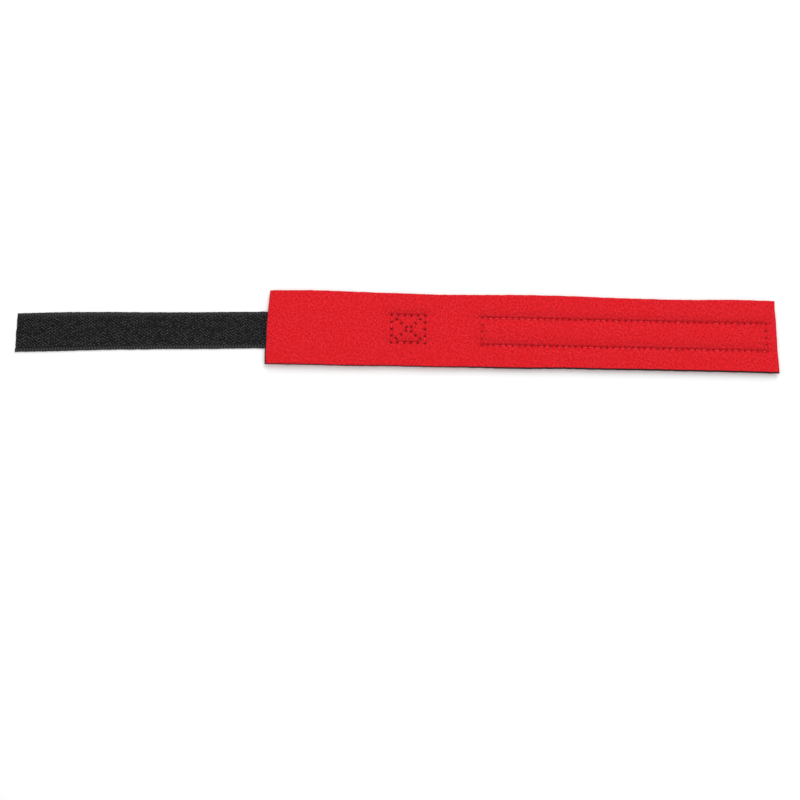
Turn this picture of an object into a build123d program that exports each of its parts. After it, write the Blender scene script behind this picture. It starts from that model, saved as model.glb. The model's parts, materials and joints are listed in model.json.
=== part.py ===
from build123d import *
import math
import os

# Wrist support strap: a laminated foam band with a hook tail sewn under one end
# and a loop patch sewn under the other. It lies open, skin side up, the tail to -X.

# overall sizes
band_length = 315.0
band_width = 46.0
tail_length = 157.0        # free hook tape beyond the band's edge
sewn_length = 102.0        # hook tape sewn under the band
loop_length = 186.0        # loop patch, flush with the band's far end
tape_width = 25.0

# layers
core_thickness = 2.2
jersey_thickness = 0.4
tape_thickness = 1.8
hook_base = 0.5            # woven ground under the hooks
loop_base = 0.4            # knitted ground over the pile
hook_selvage = 2.0         # bare edge each side of the hook field
loop_selvage = 1.5         # bare edge each side of the pile

# how the tapes lie on the band
tape_skew = 1.8            # degrees off the band's axis
skew_pivot = 95.0          # from the band's edge to where the skewed tape is centred
loop_offset = -0.8

# flexing segments
slit = 0.3
root_length = 24.0
right_count = 7
left_lengths = [18.5, 18.5, 18.5, 18.5, 29.5, 24.5]
tail_first = 27.1
tail_middle = 25.82
tail_count = 6

# stitches
thread_width = 0.45
thread_height = 0.3
stitch_pitch = 4.0
stitch_space = 1.0         # between one stitch and the next
seam_inset = 3.8           # from the tape's edges to the seams on it
end_inset = 6.2            # from the band's far end to the patch seam
tape_end_inset = 4.7       # from the sewn tape's end to the box seam
box_length = 20.7

# levels, from the floor up
band_bottom = tape_thickness
core_bottom = band_bottom + jersey_thickness
core_top = core_bottom + core_thickness
skin_top = core_top + jersey_thickness
pile_height = tape_thickness - loop_base

# places along X
band_left = (tail_length - band_length) / 2
band_right = band_left + band_length
tape_end = band_left + sewn_length
loop_start = band_right - loop_length
right_length = (band_length - root_length - sum(left_lengths)) / right_count
band_lengths = left_lengths + [root_length] + [right_length] * right_count
tail_last = tail_length - tail_first - tail_middle * (tail_count - 2)
tail_lengths = [tail_first] + [tail_middle] * (tail_count - 2) + [tail_last]

seam_height = tape_width - 2 * seam_inset
box_end = tape_end - tape_end_inset
box_start = box_end - box_length
seam_left = loop_start + seam_inset
seam_right = band_right - end_inset


def slab(x0, x1, y0, y1, z0, z1):
    """A plain block between two corners."""
    centre = ((x0 + x1) / 2, (y0 + y1) / 2, (z0 + z1) / 2)
    return Pos(*centre) * Box(x1 - x0, y1 - y0, z1 - z0)


def tape_y(x):
    """Where the skewed hook tape's middle lies at x."""
    return math.tan(math.radians(tape_skew)) * (x - band_left - skew_pivot)


def skewed_slab(x0, x1, half_width, z0, z1):
    """A length of the skewed tape, its ends square to the band."""
    y0, y1 = tape_y(x0), tape_y(x1)
    outline = Polyline(
        (x0, y0 - half_width), (x1, y1 - half_width),
        (x1, y1 + half_width), (x0, y0 + half_width), close=True)
    return Pos(0, 0, z0) * extrude(make_face(outline), z1 - z0)


def stitches(start, end, count, z):
    """A run of rounded stitches from one point to another."""
    dx, dy = end[0] - start[0], end[1] - start[1]
    pitch = math.hypot(dx, dy) / count
    bar = extrude(SlotOverall(pitch - stitch_space, thread_width), thread_height)
    turn = Rot(0, 0, math.degrees(math.atan2(dy, dx)))
    run = []
    for i in range(count):
        at = (i + 0.5) / count
        run.append(Pos(start[0] + dx * at, start[1] + dy * at, z) * turn * bar)
    return run


def count_for(length):
    """How many stitches of about the usual pitch fill a length."""
    return max(1, round(length / stitch_pitch))


def box_seam(z):
    """The square box seam with its cross, on the skewed tape."""
    mid_y = tape_y((box_start + box_end) / 2)
    low, high = mid_y - seam_height / 2, mid_y + seam_height / 2
    corners = [(box_start, low), (box_end, low), (box_end, high), (box_start, high)]
    run = []
    for i in range(4):
        a, b = corners[i], corners[(i + 1) % 4]
        run += stitches(a, b, count_for(math.dist(a, b)), z)
    for a, b in ((corners[0], corners[2]), (corners[3], corners[1])):
        run += stitches(a, b, 2 * count_for(math.dist(a, b) / 2), z)
    return run


def save(name, solids):
    """One node, one file."""
    shape = solids[0] if len(solids) == 1 else Compound(children=list(solids))
    export_step(shape, os.path.join("parts", name + ".step"))


os.makedirs("parts", exist_ok=True)
half_band = band_width / 2
half_tape = tape_width / 2
half_hooks = half_tape - hook_selvage
half_pile = half_tape - loop_selvage
bobbin_box = box_seam(0)

# the band, left to right
x = band_left
hook_number = loop_number = 0
for number, length in enumerate(band_lengths, 1):
    x0 = x if number == 1 else x + slit / 2
    x += length
    x1 = x if number == len(band_lengths) else x - slit / 2
    save(f"neoprene_core_{number:02d}",
         [slab(x0, x1, -half_band, half_band, core_bottom, core_top)])
    save(f"jersey_faces_{number:02d}",
         [slab(x0, x1, -half_band, half_band, band_bottom, core_bottom),
          slab(x0, x1, -half_band, half_band, core_top, skin_top)])

    if x0 < tape_end:
        hook_number += 1
        end = min(x1, tape_end)
        start = x0 + slit / 2 if number == 1 else x0
        ground = skewed_slab(start, end, half_tape, 0, hook_base)
        if start < box_end and end > box_start:
            ground = ground - bobbin_box
        hooks = skewed_slab(start, end, half_hooks, hook_base, tape_thickness)
        save(f"hook_tape_sewn_{hook_number:02d}", [ground, hooks])

    if x1 > loop_start:
        loop_number += 1
        start = max(x0, loop_start)
        middle = loop_offset
        save(f"loop_tape_{loop_number:02d}",
             [slab(start, x1, middle - half_tape, middle + half_tape,
                   pile_height, tape_thickness),
              slab(start, x1, middle - half_pile, middle + half_pile, 0, pile_height)])
        run_start, run_end = max(start, seam_left), min(x1, seam_right)
        low, high = middle - seam_height / 2, middle + seam_height / 2
        count = count_for(run_end - run_start)
        run = []
        for y in (low, high):
            run += stitches((run_start, y), (run_end, y), count, skin_top)
        for seam_end in (seam_left, seam_right):
            if start < seam_end < x1:
                run += stitches((seam_end, low), (seam_end, high),
                                count_for(seam_height), skin_top)
        save(f"loop_seam_thread_{loop_number:02d}", run)

# the free tail, from the band's edge outward
x = band_left
for number, length in enumerate(tail_lengths, 1):
    x1 = x - slit / 2
    x -= length
    x0 = x if number == tail_count else x + slit / 2
    save(f"hook_tail_{number:02d}",
         [skewed_slab(x0, x1, half_tape, 0, hook_base),
          skewed_slab(x0, x1, half_hooks, hook_base, tape_thickness)])

save("box_stitch_top", box_seam(skin_top))
save("box_stitch_bobbin", bobbin_box)
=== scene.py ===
import json
import math

import bpy
import numpy as np
from mathutils import Matrix, Vector


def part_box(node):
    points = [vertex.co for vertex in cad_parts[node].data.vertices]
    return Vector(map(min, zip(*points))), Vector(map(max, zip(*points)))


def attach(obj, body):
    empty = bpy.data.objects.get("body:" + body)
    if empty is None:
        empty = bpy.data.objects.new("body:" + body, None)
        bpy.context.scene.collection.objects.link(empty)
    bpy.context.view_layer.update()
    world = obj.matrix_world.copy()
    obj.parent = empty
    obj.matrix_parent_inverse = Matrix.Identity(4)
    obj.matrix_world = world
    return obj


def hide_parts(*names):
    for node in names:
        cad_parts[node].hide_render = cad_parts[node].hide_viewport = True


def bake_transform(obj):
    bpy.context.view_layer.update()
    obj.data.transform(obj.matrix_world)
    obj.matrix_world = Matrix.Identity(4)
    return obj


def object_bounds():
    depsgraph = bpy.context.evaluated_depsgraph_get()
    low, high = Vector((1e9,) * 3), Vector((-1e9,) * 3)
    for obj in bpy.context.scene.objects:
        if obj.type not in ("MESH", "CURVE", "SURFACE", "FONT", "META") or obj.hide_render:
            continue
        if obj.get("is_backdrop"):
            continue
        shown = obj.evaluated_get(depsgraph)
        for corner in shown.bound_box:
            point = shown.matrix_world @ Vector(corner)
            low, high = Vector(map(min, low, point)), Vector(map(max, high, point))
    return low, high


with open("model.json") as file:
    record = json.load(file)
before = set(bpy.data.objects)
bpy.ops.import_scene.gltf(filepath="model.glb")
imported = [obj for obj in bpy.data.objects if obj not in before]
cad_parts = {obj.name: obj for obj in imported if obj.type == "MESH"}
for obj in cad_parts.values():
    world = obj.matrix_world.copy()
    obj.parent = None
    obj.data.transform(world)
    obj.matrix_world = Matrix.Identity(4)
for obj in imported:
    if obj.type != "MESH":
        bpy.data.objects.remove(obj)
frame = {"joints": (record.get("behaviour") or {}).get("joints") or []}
cadLow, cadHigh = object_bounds()
mm = 0.001
print("frame loaded")

# the chain of bodies from the tail's tip to the band's far end, and where each bend starts and ends
tailCount, bandCount, sewnCount, patchCount = 6, 14, 5, 8
chain = [f"tail_{n:02d}" for n in range(tailCount, 0, -1)] + [f"band_{n:02d}"
        for n in range(1, bandCount + 1)]
hinges = sorted(joint["pos_m"][0] / mm for joint in frame["joints"])
limits = [cadLow.x / mm] + hinges + [cadHigh.x / mm]
middles = [(limits[n] + limits[n + 1]) / 2 for n in range(len(chain))]
lastBend = len(chain) - 2
firstBandBend = tailCount
patchBefore = 11       # the bend before the loop patch begins


def nodeBox(*names):
    # one box round several nodes, in millimetres
    boxes = [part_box(name) for name in names]
    low = [min(b[0][k] for b in boxes) / mm for k in range(3)]
    high = [max(b[1][k] for b in boxes) / mm for k in range(3)]
    return low, high


def numbered(stem, count):
    return [f"{stem}_{n:02d}" for n in range(1, count + 1)]


bandLow, bandHigh = nodeBox(*numbered("jersey_faces", bandCount))
coreLow, coreHigh = nodeBox(*numbered("neoprene_core", bandCount))
loopLow, loopHigh = nodeBox(*numbered("loop_tape", patchCount))
sewnHigh = nodeBox(*numbered("hook_tape_sewn", sewnCount))[1]
boxSeamLow, boxSeamHigh = nodeBox("box_stitch_top")
patchSeamLow, patchSeamHigh = nodeBox(*numbered("loop_seam_thread", patchCount))
tipLow = nodeBox("hook_tail_06")[0]
tapeHalf = (loopHigh[1] - loopLow[1]) / 2
bandHalf = bandHigh[1]
loopMiddle = (loopHigh[1] + loopLow[1]) / 2
# the hook tape leans: its lower edge at the tip and at the sewn end give the slope
tapeSlope = (sewnHigh[1] - tapeHalf - (tipLow[1] + tapeHalf)) / (sewnHigh[0] - cadLow.x / mm)
tapeAtZero = sewnHigh[1] - tapeHalf - tapeSlope * sewnHigh[0]


def bendsOver(x0, x1, first=0):
    # each bend's share of a layer from x0 to x1
    shares = []
    for k in range(first, lastBend + 1):
        a = x0 if k == first else max(x0, middles[k])
        b = x1 if k == lastBend else min(x1, middles[k + 1])
        if b - a > 0.01:
            shares.append((k, a, b))
    return shares


def bendWith(piece):
    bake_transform(piece)


def smoothStep(t):
    t = np.clip(t, 0, 1)
    return t * t * (3 - 2 * t)


def smoothNoise(x, y, size, seed):
    # soft bumps about size millimetres across, from -1 to 1
    lattice = np.random.default_rng(seed).uniform(-1, 1, (512, 512))
    gx, gy = np.asarray(x, float) / size + 200, np.asarray(y, float) / size + 200
    ix, iy = np.floor(gx).astype(int), np.floor(gy).astype(int)
    fx, fy = smoothStep(gx - ix), smoothStep(gy - iy)
    ix, iy = ix % 511, iy % 511
    low = lattice[ix, iy] * (1 - fx) + lattice[ix + 1, iy] * fx
    high = lattice[ix, iy + 1] * (1 - fx) + lattice[ix + 1, iy + 1] * fx
    return low * (1 - fy) + high * fy


def edgeNoise(x, share, row, size, seed):
    # each edge of a strip reads its own row of the noise
    return smoothNoise(x, np.where(share > 0, row, -row), size, seed)


def linearColour(code):
    # sRGB hex to linear
    parts = [int(code[k:k + 2], 16) / 255 for k in (1, 3, 5)]
    return [c / 12.92 if c <= 0.04045 else ((c + 0.055) / 1.055) ** 2.4 for c in parts] + [1.0]


def addNode(tree, kind, settings=None, inputs=None):
    node = tree.nodes.new(kind)
    for key, value in (settings or {}).items():
        setattr(node, key, value)
    for key, value in (inputs or {}).items():
        if isinstance(value, bpy.types.NodeSocket):
            tree.links.new(value, node.inputs[key])
        else:
            node.inputs[key].default_value = value
    return node


def addObject(name, data):
    # a new object at the origin, already in the scene
    made = bpy.data.objects.new(name, data)
    bpy.context.scene.collection.objects.link(made)
    return made


def newMaterial(name):
    material = bpy.data.materials.new(name)
    material.use_nodes = True
    tree = material.node_tree
    tree.nodes.clear()
    output = addNode(tree, "ShaderNodeOutputMaterial")
    return material, tree, output


def clothMillimetres(tree, angle=0.0):
    # where on the flat cloth a point is, in millimetres, turned by an angle in degrees
    flat = addNode(tree, "ShaderNodeUVMap", {"uv_map": "flatCloth"})
    scaled = addNode(tree, "ShaderNodeMapping", {},
                     {"Vector": flat.outputs["UV"], "Scale": (1000, 1000, 1000),
            "Rotation": (0, 0, math.radians(angle))})
    split = addNode(tree, "ShaderNodeSeparateXYZ", {}, {"Vector": scaled.outputs["Vector"]})
    return scaled.outputs["Vector"], split.outputs["X"], split.outputs["Y"]


def waveAlong(tree, place, spacing):
    # a sine that crosses zero once every spacing
    turn = addNode(tree, "ShaderNodeMath", {"operation": "MULTIPLY"}, {0: place, 1: math.pi / spacing})
    return addNode(tree, "ShaderNodeMath", {"operation": "SINE"}, {0: turn.outputs[0]}).outputs[0]


knitJersey = {
    # the last colour is for the needle holes, where the foam shows, and for the painted shade in the creases
    # and slopes beside the seams
    "red": "#D40C16", "shade": "#A60006", "light": "#FA2B37", "holeAndShade": "#120103",
    "biasAngle": 33.0,       # the sheet was cut on the bias, so the wales lean
    "waleSpacing": 1.2,      # real wales are 0.6 mm apart, drawn twice as coarse so that they show
    "courseSpacing": 1.0,
    "fuzzSize": 1.15,        # the pile of cut fibre ends, drawn coarser too
    "bumpHeight": 0.11, "mottleSize": 9.0,
    "fuzzShare": 3.4, "grainFrom": 1.5, "grainTo": 2.75,     # how much the fuzz hides the stitches
    "mottleFrom": 0.1, "mottleTo": 0.45, "roughness": 0.85, "specular": 0.12,
    "sheen": 0.06, "sheenRoughness": 0.5,
}


def makeKnitJersey(name, settings):
    # polyester jersey knitted fine and glued to foam: matt, faintly grained, a soft bloom at low angles
    material, tree, output = newMaterial(name)
    cloth, x, y = clothMillimetres(tree, settings["biasAngle"])
    # a column of V stitches: the course is pushed along by where it is in its wale
    wale = addNode(tree, "ShaderNodeMath", {"operation": "ABSOLUTE"},
                   {0: waveAlong(tree, y, settings["waleSpacing"])})
    pushed = addNode(tree, "ShaderNodeMath", {"operation": "MULTIPLY_ADD"},
                     {0: wale.outputs[0], 1: settings["courseSpacing"] * 0.6, 2: x})
    course = addNode(tree, "ShaderNodeMath", {"operation": "ABSOLUTE"},
                     {0: waveAlong(tree, pushed.outputs[0], settings["courseSpacing"])})
    knit = addNode(tree, "ShaderNodeMath", {"operation": "MULTIPLY"},
                   {0: wale.outputs[0], 1: course.outputs[0]})
    fuzz = addNode(tree, "ShaderNodeTexNoise", {}, {"Vector": cloth,
            "Scale": 1 / settings["fuzzSize"], "Detail": 2.0, "Roughness": 0.6})
    mottle = addNode(tree, "ShaderNodeTexNoise", {}, {"Vector": cloth,
            "Scale": 1 / settings["mottleSize"], "Detail": 3.0})
    grain = addNode(tree, "ShaderNodeMath", {"operation": "MULTIPLY_ADD"},
                    {0: fuzz.outputs["Fac"], 1: settings["fuzzShare"], 2: knit.outputs[0]})
    grainShare = addNode(tree, "ShaderNodeMapRange", {},
            {"Value": grain.outputs[0], "From Min": settings["grainFrom"], "From Max": settings["grainTo"]})
    grained = addNode(tree, "ShaderNodeMix", {"data_type": "RGBA"}, {
        "Factor": grainShare.outputs["Result"], 6: linearColour(settings["shade"]),
        7: linearColour(settings["light"])})
    mottleShare = addNode(tree, "ShaderNodeMapRange", {}, {"Value": mottle.outputs["Fac"], "From Min": 0.3,
            "From Max": 0.7, "To Min": settings["mottleFrom"], "To Max": settings["mottleTo"]})
    mottled = addNode(tree, "ShaderNodeMix", {"data_type": "RGBA"}, {
        "Factor": mottleShare.outputs["Result"], 6: grained.outputs[2], 7: linearColour(settings["red"])})
    # painted shade: the colour grows deeper where stitches pull the cloth in and on the slope above each long
    # seam; nearly black in a needle hole, where the foam shows through, with painted shade too
    holeAndShade = addNode(tree, "ShaderNodeAttribute", {"attribute_name": "recess"})
    piercedAndShaded = addNode(tree, "ShaderNodeMix", {"data_type": "RGBA"}, {
        "Factor": holeAndShade.outputs["Fac"], 6: mottled.outputs[2], 7: linearColour(settings["holeAndShade"])})
    relief = addNode(tree, "ShaderNodeMath", {"operation": "MULTIPLY_ADD"},
                     {0: fuzz.outputs["Fac"], 1: 0.8, 2: knit.outputs[0]})
    bump = addNode(tree, "ShaderNodeBump", {}, {"Height": relief.outputs[0], "Strength": 0.9,
            "Distance": settings["bumpHeight"] * mm})
    shader = addNode(tree, "ShaderNodeBsdfPrincipled", {}, {
        "Base Color": piercedAndShaded.outputs[2], "Roughness": settings["roughness"],
        "Normal": bump.outputs["Normal"],
        "Sheen Weight": settings["sheen"], "Sheen Roughness": settings["sheenRoughness"],
        "Specular IOR Level": settings["specular"]})
    tree.links.new(shader.outputs[0], output.inputs[0])
    return material


foam = {"black": "#0B0B0C", "pore": "#202021", "poreSize": 0.35, "roughness": 0.85}


def makeFoam(name, settings):
    # closed-cell neoprene rubber, knife cut: dull black with fine open pores on the cut
    material, tree, output = newMaterial(name)
    flat = addNode(tree, "ShaderNodeUVMap", {"uv_map": "flatCloth"})
    pores = addNode(tree, "ShaderNodeTexVoronoi", {}, {"Vector": flat.outputs["UV"],
            "Scale": 1 / (settings["poreSize"] * mm)})
    share = addNode(tree, "ShaderNodeMapRange", {}, {"Value": pores.outputs["Distance"], "From Min": 0.1,
            "From Max": 0.7})
    colour = addNode(tree, "ShaderNodeMix", {"data_type": "RGBA"}, {
        "Factor": share.outputs["Result"], 6: linearColour(settings["black"]),
        7: linearColour(settings["pore"])})
    bump = addNode(tree, "ShaderNodeBump", {}, {"Height": pores.outputs["Distance"], "Strength": 0.6,
            "Distance": 0.08 * mm})
    shader = addNode(tree, "ShaderNodeBsdfPrincipled", {}, {
        "Base Color": colour.outputs[2], "Roughness": settings["roughness"], "Normal": bump.outputs["Normal"],
        "Specular IOR Level": 0.3})
    tree.links.new(shader.outputs[0], output.inputs[0])
    return material


# weft ribs across the tape, two or three times the real 0.55 mm so that they show; warp yarns run along it
# the darkest colour of each is painted shade on the ground between the hooks, and on the back weave between
# the loops
tapeWeave = {"black": "#0A0A0B", "light": "#48484B", "paintedGroundShade": "#020203", "pickSpacing": 1.75,
             "endSpacing": 0.55, "crossing": 0.35, "bumpHeight": 0.16, "roughness": 0.6}
tapeBackWeave = {"black": "#0B0B0C", "light": "#434345", "paintedGroundShade": "#020203", "pickSpacing": 1.2,
                 "endSpacing": 0.9, "crossing": 0.55, "bumpHeight": 0.12, "roughness": 0.62}


def makeTapeWeave(name, settings):
    # nylon narrow weave, heat set: charcoal, slightly silky ribs
    material, tree, output = newMaterial(name)
    cloth, x, y = clothMillimetres(tree)
    picks, ends = waveAlong(tree, x, settings["pickSpacing"]), waveAlong(tree, y, settings["endSpacing"])
    over = addNode(tree, "ShaderNodeMath", {"operation": "MULTIPLY"}, {0: picks, 1: ends})
    ribs = addNode(tree, "ShaderNodeMath", {"operation": "ABSOLUTE"}, {0: picks})
    weave = addNode(tree, "ShaderNodeMath", {"operation": "MULTIPLY_ADD"},
                    {0: over.outputs[0], 1: settings["crossing"], 2: ribs.outputs[0]})
    fuzz = addNode(tree, "ShaderNodeTexNoise", {}, {"Vector": cloth, "Scale": 0.9,
            "Detail": 4.0, "Roughness": 0.7})
    height = addNode(tree, "ShaderNodeMath", {"operation": "MULTIPLY_ADD"},
                     {0: fuzz.outputs["Fac"], 1: 0.9, 2: weave.outputs[0]})
    share = addNode(tree, "ShaderNodeMapRange", {},
                    {"Value": height.outputs[0], "From Min": 0.6, "From Max": 2.0})
    colour = addNode(tree, "ShaderNodeMix", {"data_type": "RGBA"}, {
        "Factor": share.outputs["Result"], 6: linearColour(settings["black"]),
        7: linearColour(settings["light"])})
    # painted shade: the ground between the hooks, and between the loops, is darkened in colour, as hardly any
    # light reaches it
    paintedGroundShade = addNode(tree, "ShaderNodeAttribute", {"attribute_name": "recess"})
    shaded = addNode(tree, "ShaderNodeMix", {"data_type": "RGBA"}, {
        "Factor": paintedGroundShade.outputs["Fac"], 6: colour.outputs[2], 7: linearColour(settings["paintedGroundShade"])})
    bump = addNode(tree, "ShaderNodeBump", {}, {"Height": height.outputs[0], "Strength": 0.8,
            "Distance": settings["bumpHeight"] * mm})
    shader = addNode(tree, "ShaderNodeBsdfPrincipled", {}, {
        "Base Color": shaded.outputs[2], "Roughness": settings["roughness"], "Normal": bump.outputs["Normal"],
        "Sheen Weight": 0.04, "Sheen Roughness": 0.4, "Specular IOR Level": 0.18})
    tree.links.new(shader.outputs[0], output.inputs[0])
    return material


def makeFibre(name, dark, light, roughness, sheen, glint):
    # drawn fibre: each hook, loop or stitch is a little lighter or darker than the next
    material, tree, output = newMaterial(name)
    shade = addNode(tree, "ShaderNodeAttribute", {"attribute_name": "shade"})
    # fibreAlong is where on the thread this is, so the plies wind along it
    along = addNode(tree, "ShaderNodeAttribute", {"attribute_name": "fibreAlong"})
    plies = addNode(tree, "ShaderNodeTexNoise", {},
                    {"Vector": along.outputs["Vector"], "Scale": 3000.0, "Detail": 2.0})
    mixed = addNode(tree, "ShaderNodeMath", {"operation": "MULTIPLY_ADD"},
                    {0: plies.outputs["Fac"], 1: 0.5, 2: shade.outputs["Fac"]})
    share = addNode(tree, "ShaderNodeMapRange", {},
                    {"Value": mixed.outputs[0], "From Min": 0.2, "From Max": 1.25})
    colour = addNode(tree, "ShaderNodeMix", {"data_type": "RGBA"}, {
        "Factor": share.outputs["Result"], 6: linearColour(dark), 7: linearColour(light)})
    shader = addNode(tree, "ShaderNodeBsdfPrincipled", {}, {
        "Base Color": colour.outputs[2], "Roughness": roughness, "Sheen Weight": sheen,
        "Sheen Roughness": 0.4, "Specular IOR Level": glint})
    tree.links.new(shader.outputs[0], output.inputs[0])
    return material


redKnitJersey = makeKnitJersey("redKnitJersey", knitJersey)
neopreneFoam = makeFoam("neopreneFoam", foam)
wovenNylonTape = makeTapeWeave("wovenNylonTape", tapeWeave)
wovenTapeBack = makeTapeWeave("wovenTapeBack", tapeBackWeave)
# drawn monofilament: a hard glint on each hook
nylonHooks = makeFibre("nylonHooks", "#060607", "#6E6E73", 0.42, 0.0, 0.35)
# brushed multifilament: soft and dark
brushedLoops = makeFibre("brushedLoops", "#09090A", "#4C4C50", 0.75, 0.1, 0.15)
# spun polyester, a touch brighter than the jersey
redThread = makeFibre("redPolyesterThread", "#DC121F", "#FA2E3C", 0.65, 0.0, 0.1)
blackThread = makeFibre("blackPolyesterThread", "#0B0B0C", "#38383B", 0.6, 0.05, 0.25)
print("materials made")


lie = {
    "droop": 0.55,           # how far the band's edges sink beside the tapes
    "sag": 0.5,              # and between the two tapes
    "edgeWave": 0.3,         # the knife's small wander
    "edgeWaveSize": 26.0, "edgeNick": 0.1, "edgeNickSize": 3.0,
    "endReach": 14.0, "endWander": 0.2, "endWanderSize": 9.0,       # the two end cuts
    "farBow": 0.45, "farBowLength": 142.0, "farBowPeak": -49.0,     # and its long one, far edge
    "nearBow": 0.85, "nearBowLength": 480.0, "nearBowStart": 55.0,  # near edge
    "dents": 0.09,           # soft dents left by handling
    "dentSize": 13.0,
    "pinch": 0.6, "pinchLength": 4.0,     # the cutting blade squeezed both ends thinner
    "foamShows": 0.55,       # the cut foam stands out past the jersey at two corners
    "tapeDraw": 0.05,        # the tail narrows a little towards where it is sewn
    "tapeBow": 1.5,          # and bows towards the far side
    "tapeWave": 0.35, "tapeWaveSize": 30.0, "tapeNick": 0.12, "tapeNickSize": 1.4,
    "tipReach": 6.0, "tipRagged": 0.35, "tipRaggedSize": 1.1, "tipLean": 0.35,     # its cut end
    "patchWave": 0.25, "patchWaveSize": 28.0, "cornerRounding": 0.16, "roundingWidth": 1.2,
}


def tapeMiddle(x):
    # the lean, and a slight bow that dies out where the tape is sewn
    bow = lie["tapeBow"] * (0.7 + 0.3 * smoothStep((x - tipLow[0]) / 60)) * smoothStep((10 - x) / 90)
    return tapeAtZero + tapeSlope * x + bow


def tapeHalfAt(x):
    return tapeHalf * (1 - lie["tapeDraw"] * smoothStep((x - tipLow[0]) / 110))


def bandLie(x, y):
    # the laminate's own rise and fall over what it lies on
    overHooks = smoothStep((sewnHigh[0] + 5 - x) / 10)
    overLoops = smoothStep((x - loopLow[0] + 5) / 10)
    held = np.maximum(overHooks, overLoops)
    middle = tapeMiddle(x) * overHooks + loopMiddle * (1 - overHooks)
    beside = smoothStep((np.abs(y - middle) - tapeHalf + 2.5) / 10)
    return -lie["droop"] * beside * held - lie["sag"] * (1 - held)


def bandPlace(x, share):
    # share runs from -1 at the near edge to 1 at the far edge
    side = np.sign(share) * np.abs(share) ** 3
    wave = edgeNoise(x, share, 40, lie["edgeWaveSize"], 3) * lie["edgeWave"]
    fine = edgeNoise(x, share, 90, lie["edgeNickSize"], 4) * lie["edgeNick"]
    far = lie["farBow"] * np.cos(2 * math.pi * (x - lie["farBowPeak"]) / lie["farBowLength"])
    near = lie["nearBow"] * np.sin(2 * math.pi * (x - lie["nearBowStart"]) / lie["nearBowLength"])
    bow = np.where(share > 0, far, near) * np.abs(share) ** 3
    y = share * bandHalf + side * (wave + fine) + bow
    left = smoothStep(1 - (x - bandLow[0]) / lie["endReach"])
    right = smoothStep(1 - (bandHigh[0] - x) / lie["endReach"])
    # the ends were cut a little out of square, in shallow curves
    leftWander = smoothNoise(share * 23, 7, lie["endWanderSize"], 5) * lie["endWander"]
    rightWander = smoothNoise(share * 23, 17, lie["endWanderSize"], 6) * lie["endWander"]
    shift = left * (leftWander + 0.4 * share + 0.55 * share * share - 0.7)
    shift = shift + right * (rightWander - 0.7 * share + 0.1 + 0.5 * share * share)
    return x + shift, y


def foamPlace(x, share):
    # foam shows at the near edge of both ends
    px, py = bandPlace(x, share)
    leftCorner = smoothStep((bandLow[0] + 5 - x) / 5) * smoothStep((0.3 - share) / 0.5)
    nearEdge = smoothStep((-share - 0.9) / 0.1) * smoothStep((x - 20) / 60)
    return px - lie["foamShows"] * leftCorner, py - lie["foamShows"] * 0.7 * nearEdge


def tapePlace(x, share):
    wave = edgeNoise(x, share, 140, lie["tapeWaveSize"], 8) * lie["tapeWave"]
    wave = wave + edgeNoise(x, share, 190, lie["tapeNickSize"], 9) * lie["tapeNick"]
    y = tapeMiddle(x) + share * tapeHalfAt(x) + np.sign(share) * np.abs(share) ** 4 * wave
    tip = smoothStep(1 - (x - cadLow.x / mm) / lie["tipReach"])
    ragged = smoothNoise(share * 12, 3, lie["tipRaggedSize"], 10) * lie["tipRagged"]
    return x + tip * (ragged - lie["tipLean"] * share - 0.1), y


def loopPlace(x, share):
    wave = edgeNoise(x, share, 240, lie["patchWaveSize"], 11) * lie["patchWave"]
    return x + 0 * share, loopMiddle + share * tapeHalf + np.sign(share) * np.abs(share) ** 4 * wave


seam = {
    "pitch": 4.0, "threadRadius": 0.33, "rise": 0.34,     # thread drawn a third thicker so that it shows
    "grooveDepth": 0.42, "holeDepth": 0.40, "grooveWidth": 0.7,
    "pillow": 0.26, "pillowAt": 1.35, "pillowWidth": 0.75, "press": 0.36, "pressWidth": 3.2,
    # the last four settings give the painted shade in the jersey's colour at the holes, the crease and the
    # slope
    "holeWidth": 0.85, "creaseShade": 0.42, "slopeShade": 0.25, "slopeWidth": 3.4,
}
threadHalf = 0.225       # half the drawn thread in the CAD boxes


def cutAtMiddles(a, b):
    # a straight run of stitches, cut where one bend hands over to the next
    inside = sorted(m for m in middles if min(a[0], b[0]) + 0.5 < m < max(a[0], b[0]) - 0.5)
    if a[0] > b[0]:
        inside = inside[::-1]
    shares = [0.0] + [(m - a[0]) / (b[0] - a[0]) for m in inside] + [1.0]
    points = [(a[0] + (b[0] - a[0]) * t, a[1] + (b[1] - a[1]) * t) for t in shares]
    return list(zip(points[:-1], points[1:]))


def rectangleRuns(low, high):
    x0, y0, x1, y1 = low[0] + threadHalf, low[1] + threadHalf, high[0] - threadHalf, high[1] - threadHalf
    runs = []
    for a, b in (((x0, y0), (x1, y0)), ((x1, y0), (x1, y1)), ((x1, y1), (x0, y1)), ((x0, y1), (x0, y0))):
        runs += cutAtMiddles(a, b)
    return runs, (x0, y0, x1, y1)


patchRuns, patchCorners = rectangleRuns(patchSeamLow, patchSeamHigh)
boxRuns, boxCorners = rectangleRuns(boxSeamLow, boxSeamHigh)
crossRuns = cutAtMiddles(boxCorners[:2], boxCorners[2:]) + cutAtMiddles((boxCorners[0], boxCorners[3]),
        (boxCorners[2], boxCorners[1]))
boxRuns = boxRuns + crossRuns
seamRuns = patchRuns + boxRuns


def besideRun(x, y, a, b):
    # how far along a run each point lies, how far off it in X and Y, the run's length and its stitch count
    length = math.dist(a, b)
    dx, dy = (b[0] - a[0]) / length, (b[1] - a[1]) / length
    held = np.clip((x - a[0]) * dx + (y - a[1]) * dy, 0, length)
    return held, x - a[0] - held * dx, y - a[1] - held * dy, length, max(2, round(length / seam["pitch"]))


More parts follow.
